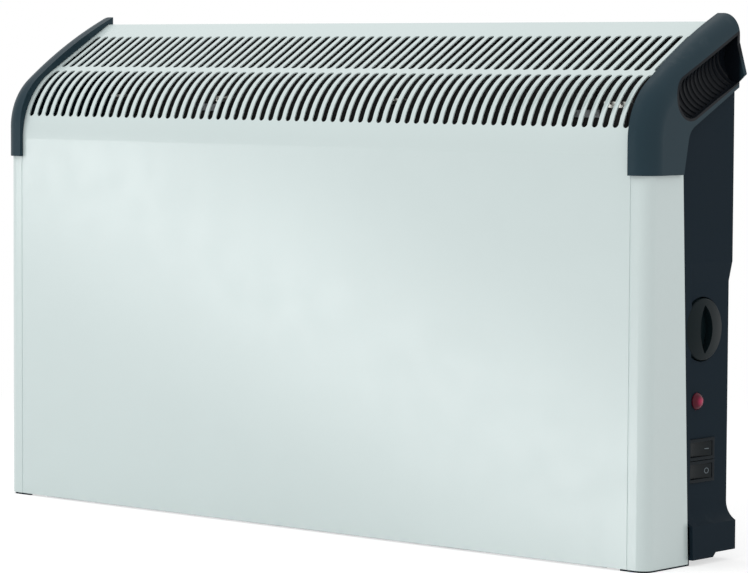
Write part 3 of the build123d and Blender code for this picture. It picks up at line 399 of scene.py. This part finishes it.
def enamel_material(finish):
    """Smooth satin enamel with a trace of orange peel and soft tone changes, and painted shade,
    near black and more matt, on the sheet's inner side.
    """
    material = bpy.data.materials.new("panel_enamel")
    material.use_nodes = True
    tree = material.node_tree
    shader = tree.nodes["Principled BSDF"]
    place = object_place(tree)
    cloud = noise(tree, place, 3.0, 3.0)
    tint = tuple(value * 0.965 for value in finish.enamel)
    colour = mix_colour(tree, spread(tree, cloud, 0.3, 0.7), finish.enamel, tint)
    # Painted shade: the sheet's inner side, in shade inside the heater, is coloured near black.
    inside_shade = inner_face(tree)
    colour = mix_colour(tree, inside_shade, colour, display(16, 17, 17))
    tree.links.new(colour, shader.inputs["Base Color"])
    low, high = finish.enamel_gloss - 0.02, finish.enamel_gloss + 0.03
    rough = spread(tree, noise(tree, place, 40.0, 3.0), 0.3, 0.7, low, high)
    rough = maths(tree, "MULTIPLY_ADD", inside_shade, 0.6, rough)
    tree.links.new(rough, shader.inputs["Roughness"])
    peel = tree.nodes.new("ShaderNodeBump")
    peel.inputs["Strength"].default_value = 0.025
    peel.inputs["Distance"].default_value = 0.0002
    tree.links.new(noise(tree, place, 420.0, 2.0), peel.inputs["Height"])
    tree.links.new(peel.outputs["Normal"], shader.inputs["Normal"])
    return material


def paint_hollow_shade(material):
    """Painted shade, near black, inside the ribbed finger hollows of the end caps."""
    tree = material.node_tree
    place = split_place(tree)
    out = maths(tree, "ABSOLUTE", place["X"])
    depth = maths(tree, "SUBTRACT", place["Y"], HOLLOW_START.y)
    height = maths(tree, "SUBTRACT", place["Z"], HOLLOW_START.z)
    rise = maths(tree, "MULTIPLY", height, math.cos(HOLLOW_SLOPE))
    off_axis = maths(tree, "MULTIPLY_ADD", depth, -math.sin(HOLLOW_SLOPE), rise)
    across = maths(tree, "SUBTRACT", out, HOLLOW_START.x)
    along = maths(tree, "MULTIPLY_ADD", height, math.sin(HOLLOW_SLOPE),
                  maths(tree, "MULTIPLY", depth, math.cos(HOLLOW_SLOPE)))
    short = maths(tree, "MINIMUM", along, 0.0)
    square = maths(tree, "MULTIPLY", across, across)
    square = maths(tree, "MULTIPLY_ADD", off_axis, off_axis, square)
    square = maths(tree, "MULTIPLY_ADD", short, short, square)
    distance = maths(tree, "SQRT", square)
    near = spread(tree, distance, HOLLOW_REACH, HOLLOW_REACH + 0.3 * MM, 1.0, 0.0)
    edge = HOLLOW_START.x
    within = spread(tree, out, edge - 3 * MM, edge + 1.2 * MM, 1.0, 0.0)
    overlay(tree, maths(tree, "MULTIPLY", near, within), display(9, 14, 20))


def paint_lens_glow(material, node, colour):
    """Painted glow: a brighter colour at the middle of a round lens that faces sideways."""
    tree = material.node_tree
    low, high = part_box(node)
    middle = (low + high) / 2
    place = split_place(tree)
    depth = maths(tree, "SUBTRACT", place["Y"], middle.y)
    height = maths(tree, "SUBTRACT", place["Z"], middle.z)
    square = maths(tree, "MULTIPLY_ADD", depth, depth, maths(tree, "MULTIPLY", height, height))
    radius = (high.z - low.z) / 2
    mask = spread(tree, maths(tree, "SQRT", square), 0.0, radius * 0.75, 1.0, 0.0)
    overlay(tree, mask, colour)


# ---------------------------------------------------------------- operators
class HeaterOperator:
    """Shared by the heater's operators."""

    bl_options = {"REGISTER", "UNDO"}


class HEATER_OT_front_panel(HeaterOperator, bpy.types.Operator):
    """Enamel the folded front panel"""

    bl_idname = "heater.front_panel"
    bl_label = "Front panel"

    def execute(self, context):
        dress(enamel_material(context.scene.heater_finish), "front_panel")
        return {"FINISHED"}


class HEATER_OT_mouldings(HeaterOperator, bpy.types.Operator):
    """Finish the end caps and side panels as grained mouldings"""

    bl_idname = "heater.mouldings"
    bl_label = "End caps and side panels"

    def execute(self, context):
        finish = context.scene.heater_finish
        group = moulding_group()
        cap = surface(
            "cap_moulding", group,
            {"Colour": rgba(finish.cap), "Grain scale": 1500.0, "Roughness": 0.42, "Dust": 0.03},
            bump=0.12, Specular_IOR_Level=0.15,
        )
        side = surface(
            "side_moulding", group,
            {"Colour": rgba(finish.side), "Grain scale": 1200.0, "Roughness": 0.6, "Dust": 0.03},
            bump=0.15, Specular_IOR_Level=0.06,
        )
        # Painted shade in the caps' finger hollows.
        paint_hollow_shade(cap)
        dress(cap, "right_end_cap", "left_end_cap")
        dress(side, "right_side_panel", "left_side_panel")
        return {"FINISHED"}


class HEATER_OT_controls(HeaterOperator, bpy.types.Operator):
    """Finish the knob, lamp and switches"""

    bl_idname = "heater.controls"
    bl_label = "Controls"

    def execute(self, context):
        finish = context.scene.heater_finish
        group = bpy.data.node_groups["moulding_surface"]
        knob = surface(
            "knob_plastic", group,
            {"Colour": rgba(finish.knob), "Grain scale": 2200.0, "Roughness": 0.36, "Dust": 0.02},
            bump=0.05, Specular_IOR_Level=0.08,
        )
        frame_black = surface(
            "switch_black", group,
            {"Colour": rgba(display(16, 24, 29)),
             "Grain scale": 2500.0, "Roughness": 0.4, "Dust": 0.02},
            bump=0.05, Specular_IOR_Level=0.08,
        )
        key_black = surface(
            "rocker_black", group,
            {"Colour": rgba(display(18, 25, 28)),
             "Grain scale": 2500.0, "Roughness": 0.26, "Dust": 0.0},
            bump=0.03, Specular_IOR_Level=0.14,
        )
        lens = surface(
            "neon_red", group,
            {"Colour": rgba(finish.lens), "Grain scale": 300.0, "Roughness": 0.15, "Dust": 0.0},
            bump=0.02, Specular_IOR_Level=0.2,
        )
        # Painted glow at the middle of the lamp lens.
        paint_lens_glow(lens, "neon_lens", display(176, 44, 84))
        dress(knob, "thermostat_knob")
        dress(frame_black, "fan_switch_frame", "heat_switch_frame")
        dress(key_black, "fan_switch_rocker", "heat_switch_rocker")
        dress(lens, "neon_lens")
        return {"FINISHED"}


class HEATER_OT_metalwork(HeaterOperator, bpy.types.Operator):
    """Finish the sheets, fan, motor and fixings as metal"""

    bl_idname = "heater.metalwork"
    bl_label = "Metalwork"

    def execute(self, context):
        steel = context.scene.heater_finish.steel
        group = metal_group()
        sheet = surface(
            "galvanised_steel", group,
            {"Colour": rgba(steel), "Spangle": 0.16, "Roughness": 0.42},
            bump=0.08, Metallic=1.0,
        )
        # Painted shade: the partition and heat shields, which lie in shade inside the heater, are
        # near-black matt sheets.
        painted_shade = surface(
            "painted_shade_steel", group,
            {"Colour": rgba(display(18, 18, 18)), "Spangle": 0.1, "Roughness": 0.8},
            bump=0.08, Metallic=0.0, Specular_IOR_Level=0.15,
        )
        sheath = surface(
            "element_sheath", group,
            {"Colour": rgba(display(38, 35, 33)), "Spangle": 0.1, "Stain": 0.4, "Roughness": 0.6},
            bump=0.05, Metallic=0.3,
        )
        bright = surface(
            "bright_steel", group,
            {"Colour": rgba(display(186, 188, 190)),
             "Spangle": 0.04, "Stain": 0.1, "Roughness": 0.25},
            bump=0.05, Metallic=1.0,
        )
        alloy = surface(
            "fan_aluminium", group,
            {"Colour": rgba(display(196, 198, 200)),
             "Spangle": 0.05, "Stain": 0.15, "Roughness": 0.35},
            bump=0.1, Metallic=1.0,
        )
        bronze = surface(
            "bronze", group,
            {"Colour": rgba(display(190, 150, 86)),
             "Spangle": 0.06, "Stain": 0.2, "Roughness": 0.3},
            bump=0.05, Metallic=1.0,
        )
        stack = surface(
            "laminations", group,
            {"Colour": rgba(display(96, 98, 102)), "Spangle": 0.08, "Stain": 0.3, "Roughness": 0.5},
            bump=0.2, Metallic=0.9,
        )
        winding = surface(
            "winding", group,
            {"Colour": rgba(display(150, 84, 46)), "Spangle": 0.1, "Stain": 0.2, "Roughness": 0.3},
            bump=0.3, Metallic=0.7,
        )
        # Painted shade: the back panel's inner side and bracket, and the sheets below their tab
        # tops, are coloured near black where they lie in shade inside the heater.
        shade_colour = display(20, 20, 20)
        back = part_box("back_panel")[1][1]
        rear_sheet = banded_metal(
            "rear_sheet", group, steel, shade_colour, "Y", back - 0.8 * MM, back - 0.6 * MM
        )
        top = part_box("middle_element_support")[1][2]
        tabbed = banded_metal(
            "tabbed_sheet", group, display(236, 236, 230), shade_colour, "Z", top - 4.6 * MM, top - 4.0 * MM
        )
        dress(sheet, "base_tray", "fan_housing",
              "motor_inner_bracket", "motor_outer_bracket", "motor_base")
        dress(rear_sheet, "back_panel", "wall_bracket")
        dress(painted_shade, "left_partition", "front_heat_shield", "rear_heat_shield")
        dress(tabbed, "right_partition", "left_element_support", "middle_element_support",
              "right_element_support")
        dress(sheath, "lower_heating_element", "upper_heating_element")
        dress(bright, "fan_shaft", "thermostat_nut", "thermostat_spindle",
              "case_screws", "end_cap_screws")
        dress(alloy, "fan_impeller")
        dress(bronze, "fan_bearing", "terminal_screws")
        dress(stack, "motor_stator", "motor_rotor")
        dress(winding, "motor_coil")
        return {"FINISHED"}


class HEATER_OT_electrics(HeaterOperator, bpy.types.Operator):
    """Finish the insulators, gland and wires"""

    bl_idname = "heater.electrics"
    bl_label = "Electrics"

    def execute(self, context):
        group = bpy.data.node_groups["moulding_surface"]
        ceramic = surface(
            "ceramic", group,
            {"Colour": rgba(display(232, 226, 210)),
             "Grain scale": 900.0, "Roughness": 0.5, "Dust": 0.0},
        )
        phenolic = surface(
            "thermostat_plastic", group,
            {"Colour": rgba(display(52, 44, 40)),
             "Grain scale": 900.0, "Roughness": 0.4, "Dust": 0.05},
        )
        nylon = surface(
            "lamp_body", group,
            {"Colour": rgba(display(28, 30, 32)),
             "Grain scale": 900.0, "Roughness": 0.45, "Dust": 0.05},
        )
        silicone = surface(
            "wire_sheath", group,
            {"Colour": rgba(display(168, 160, 150)),
             "Grain scale": 900.0, "Roughness": 0.55, "Dust": 0.05},
        )
        dress(ceramic, "element_terminals", "terminal_block")
        dress(phenolic, "thermostat_body", "thermal_cutout")
        dress(nylon, "neon_holder", "cable_gland")
        dress(silicone, "internal_wiring")
        return {"FINISHED"}


class HEATER_OT_marks(HeaterOperator, bpy.types.Operator):
    """Raise an off ring and an on bar on each switch key"""

    bl_idname = "heater.marks"
    bl_label = "Switch marks"

    def execute(self, context):
        marks = context.scene.heater_marks
        paint = surface(
            "mark_white", bpy.data.node_groups["moulding_surface"],
            {"Colour": rgba(display(96, 106, 112)),
             "Grain scale": 1200.0, "Roughness": 0.5, "Dust": 0.0},
            bump=0.03, Specular_IOR_Level=0.4,
        )
        for body, kind in MARKS.items():
            place, turn = self.face(PIVOTS[body])
            clear_selection()
            if kind == "ring":
                bpy.ops.mesh.primitive_torus_add(
                    major_segments=40, minor_segments=10, location=place, rotation=turn,
                    major_radius=marks.ring_radius, minor_radius=marks.stroke / 2,
                )
            else:
                self.bar(marks, place, turn)
            mark = bpy.context.object
            mark.name = f"{body}_{kind}"
            bpy.ops.object.shade_smooth_by_angle(angle=math.radians(40))
            bpy.ops.object.transform_apply(location=True, rotation=True, scale=True)
            mark.data.materials.append(paint)
            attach(mark, body)
        return {"FINISHED"}

    def face(self, pivot):
        """Place and turn of a mark that lies on the rear end of a leaning key's face."""
        height = FACE_CENTRE - math.sqrt(FACE_RADIUS ** 2 - MARK_DEPTH ** 2)
        across = math.cos(KEY_LEAN) * height - math.sin(KEY_LEAN) * MARK_DEPTH
        along = math.sin(KEY_LEAN) * height + math.cos(KEY_LEAN) * MARK_DEPTH
        place = pivot + Vector((across, along, 0)) * MM
        hollow = math.asin(MARK_DEPTH / FACE_RADIUS)
        return place, (0, math.radians(90), KEY_LEAN - hollow)

    def bar(self, marks, place, turn):
        """A low bar with rounded edges, upright on the face."""
        bpy.ops.mesh.primitive_cube_add(size=1.0, location=place, rotation=turn)
        bar = bpy.context.object
        bar.scale = (marks.stroke, marks.bar_length, marks.stroke)
        bpy.ops.object.transform_apply(location=False, rotation=False, scale=True)
        round_off = bar.modifiers.new("rounded", "BEVEL")
        round_off.width = marks.stroke * 0.35
        round_off.segments = 3
        bpy.ops.object.modifier_apply(modifier=round_off.name)


class HEATER_OT_stage(HeaterOperator, bpy.types.Operator):
    """Build the floor, light and camera"""

    bl_idname = "heater.stage"
    bl_label = "Studio"

    def execute(self, context):
        studio = context.scene.heater_studio
        context.scene.view_settings.view_transform = "Standard"
        self.floor()
        self.sheen_card(studio)
        self.surround(context, studio)
        self.key_lamp(studio)
        self.camera(context)
        return {"FINISHED"}

    def floor(self):
        """Round pale floor that keeps the shadow and fades to white."""
        clear_selection()
        bpy.ops.mesh.primitive_circle_add(vertices=96, radius=6.0, fill_type="NGON")
        floor = bpy.context.object
        floor.name = "studio_floor"
        floor.visible_glossy = False
        material = bpy.data.materials.new("studio_floor")
        material.use_nodes = True
        tree = material.node_tree
        tree.nodes.clear()
        leave = tree.nodes.new("ShaderNodeOutputMaterial")
        matt = tree.nodes.new("ShaderNodeBsdfDiffuse")
        matt.inputs["Color"].default_value = (0.8, 0.8, 0.8, 1)
        glow = tree.nodes.new("ShaderNodeEmission")
        glow.inputs["Strength"].default_value = 1.0
        lift = tree.nodes.new("ShaderNodeEmission")
        lift.inputs["Strength"].default_value = 0.62
        sum_shader = tree.nodes.new("ShaderNodeAddShader")
        soft = tree.nodes.new("ShaderNodeBsdfDiffuse")
        soft.inputs["Color"].default_value = (0.5, 0.5, 0.5, 1)
        tree.links.new(lift.outputs[0], sum_shader.inputs[0])
        tree.links.new(soft.outputs[0], sum_shader.inputs[1])
        length = tree.nodes.new("ShaderNodeVectorMath")
        length.operation = "LENGTH"
        tree.links.new(object_place(tree), length.inputs[0])
        fade = tree.nodes.new("ShaderNodeMixShader")
        tree.links.new(spread(tree, length.outputs["Value"], 0.55, 1.1), fade.inputs[0])
        tree.links.new(sum_shader.outputs[0], fade.inputs[1])
        tree.links.new(glow.outputs[0], fade.inputs[2])
        rays = tree.nodes.new("ShaderNodeLightPath")
        choose = tree.nodes.new("ShaderNodeMixShader")
        tree.links.new(rays.outputs["Is Camera Ray"], choose.inputs[0])
        tree.links.new(matt.outputs[0], choose.inputs[1])
        tree.links.new(fade.outputs[0], choose.inputs[2])
        tree.links.new(choose.outputs[0], leave.inputs[0])
        floor.data.materials.append(material)

    def sheen_card(self, studio):
        """Bright card seen only in reflections: it lays a diagonal sheen on the enamel."""
        clear_selection()
        bpy.ops.mesh.primitive_grid_add(x_subdivisions=8, y_subdivisions=4, size=1.0)
        card = bpy.context.object
        card.name = "sheen_card"
        low_left, low_right, high_left, high_right = SHEEN_CORNERS
        for vertex in card.data.vertices:
            along, up = vertex.co.x + 0.5, vertex.co.y + 0.5
            low = low_left.lerp(low_right, along)
            vertex.co = low.lerp(high_left.lerp(high_right, along), up)
        for ray in ("camera", "diffuse", "transmission", "volume_scatter", "shadow"):
            setattr(card, f"visible_{ray}", False)
        material = bpy.data.materials.new("sheen_card")
        material.use_nodes = True
        material.cycles.emission_sampling = "NONE"
        tree = material.node_tree
        tree.nodes.clear()
        leave = tree.nodes.new("ShaderNodeOutputMaterial")
        chart = tree.nodes.new("ShaderNodeTexCoord")
        across = tree.nodes.new("ShaderNodeSeparateXYZ")
        tree.links.new(chart.outputs["UV"], across.inputs[0])
        low = spread(tree, across.outputs["Y"], 0.0, 0.35)
        high = spread(tree, across.outputs["Y"], 0.65, 1.0, 1.0, 0.0)
        soft = maths(tree, "MULTIPLY", low, high)
        glow = tree.nodes.new("ShaderNodeEmission")
        tree.links.new(maths(tree, "MULTIPLY", soft, studio.sheen), glow.inputs["Strength"])
        clear = tree.nodes.new("ShaderNodeBsdfTransparent")
        blend = tree.nodes.new("ShaderNodeMixShader")
        tree.links.new(soft, blend.inputs[0])
        tree.links.new(clear.outputs[0], blend.inputs[1])
        tree.links.new(glow.outputs[0], blend.inputs[2])
        tree.links.new(blend.outputs[0], leave.inputs[0])
        card.data.materials.append(material)

    def surround(self, context, studio):
        """Even light from all round, white to the camera and in reflections."""
        world = bpy.data.worlds.new("studio_surround")
        context.scene.world = world
        world.use_nodes = True
        tree = world.node_tree
        tree.nodes.clear()
        leave = tree.nodes.new("ShaderNodeOutputWorld")
        rays = tree.nodes.new("ShaderNodeLightPath")
        shown = maths(tree, "MAXIMUM", rays.outputs["Is Camera Ray"], rays.outputs["Is Glossy Ray"])
        shown = maths(tree, "MAXIMUM", shown, rays.outputs["Is Transmission Ray"])
        strength = maths(tree, "MULTIPLY_ADD", shown, 1.0 - studio.surround, studio.surround)
        light = tree.nodes.new("ShaderNodeBackground")
        light.inputs["Color"].default_value = (1, 1, 1, 1)
        tree.links.new(strength, light.inputs["Strength"])
        tree.links.new(light.outputs[0], leave.inputs[0])

    def key_lamp(self, studio):
        """Large soft lamp from the upper front left."""
        clear_selection()
        bpy.ops.object.light_add(type="AREA", location=LAMP_PLACE)
        lamp = bpy.context.object
        lamp.name = "key_lamp"
        lamp.data.shape = "RECTANGLE"
        lamp.data.size = 2.2
        lamp.data.size_y = 1.6
        lamp.data.energy = studio.key
        lamp.visible_glossy = False
        aim = LAMP_TARGET - LAMP_PLACE
        lamp.rotation_euler = aim.to_track_quat("-Z", "Y").to_euler()

    def camera(self, context):
        """Camera level with the heater's top, far off to the right."""
        data = bpy.data.cameras.new("camera")
        data.lens = CAMERA_LENS
        data.sensor_width = 36.0
        camera = bpy.data.objects.new("camera", data)
        camera.location = CAMERA_PLACE
        aim = (CAMERA_TARGET - CAMERA_PLACE).to_track_quat("-Z", "Y")
        camera.rotation_euler = (aim @ CAMERA_ROLL).to_euler()
        context.scene.collection.objects.link(camera)
        context.scene.camera = camera


class HEATER_PT_panel(bpy.types.Panel):
    """The heater's tools and settings"""

    bl_label = "Fan convector heater"
    bl_space_type = "VIEW_3D"
    bl_region_type = "UI"
    bl_category = "Heater"

    def draw(self, context):
        for operator in OPERATORS:
            self.layout.operator(operator.bl_idname)
        for settings in ("heater_finish", "heater_marks", "heater_studio"):
            group = getattr(context.scene, settings)
            for name in group.bl_rna.properties.keys():
                if name not in ("rna_type", "name"):
                    self.layout.prop(group, name)


OPERATORS = (
    HEATER_OT_front_panel,
    HEATER_OT_mouldings,
    HEATER_OT_controls,
    HEATER_OT_metalwork,
    HEATER_OT_electrics,
    HEATER_OT_marks,
    HEATER_OT_stage,
)
GROUPS = {
    "heater_finish": FinishSettings,
    "heater_marks": MarkSettings,
    "heater_studio": StudioSettings,
}


def register():
    for name, group in GROUPS.items():
        bpy.utils.register_class(group)
        setattr(bpy.types.Scene, name, bpy.props.PointerProperty(type=group))
    for operator in OPERATORS:
        bpy.utils.register_class(operator)
    bpy.utils.register_class(HEATER_PT_panel)


def unregister():
    bpy.utils.unregister_class(HEATER_PT_panel)
    for operator in reversed(OPERATORS):
        bpy.utils.unregister_class(operator)
    for name, group in GROUPS.items():
        delattr(bpy.types.Scene, name)
        bpy.utils.unregister_class(group)


def main():
    register()
    for operator in OPERATORS:
        group, name = operator.bl_idname.split(".")
        getattr(getattr(bpy.ops, group), name)()


if __name__ == "__main__":
    main()
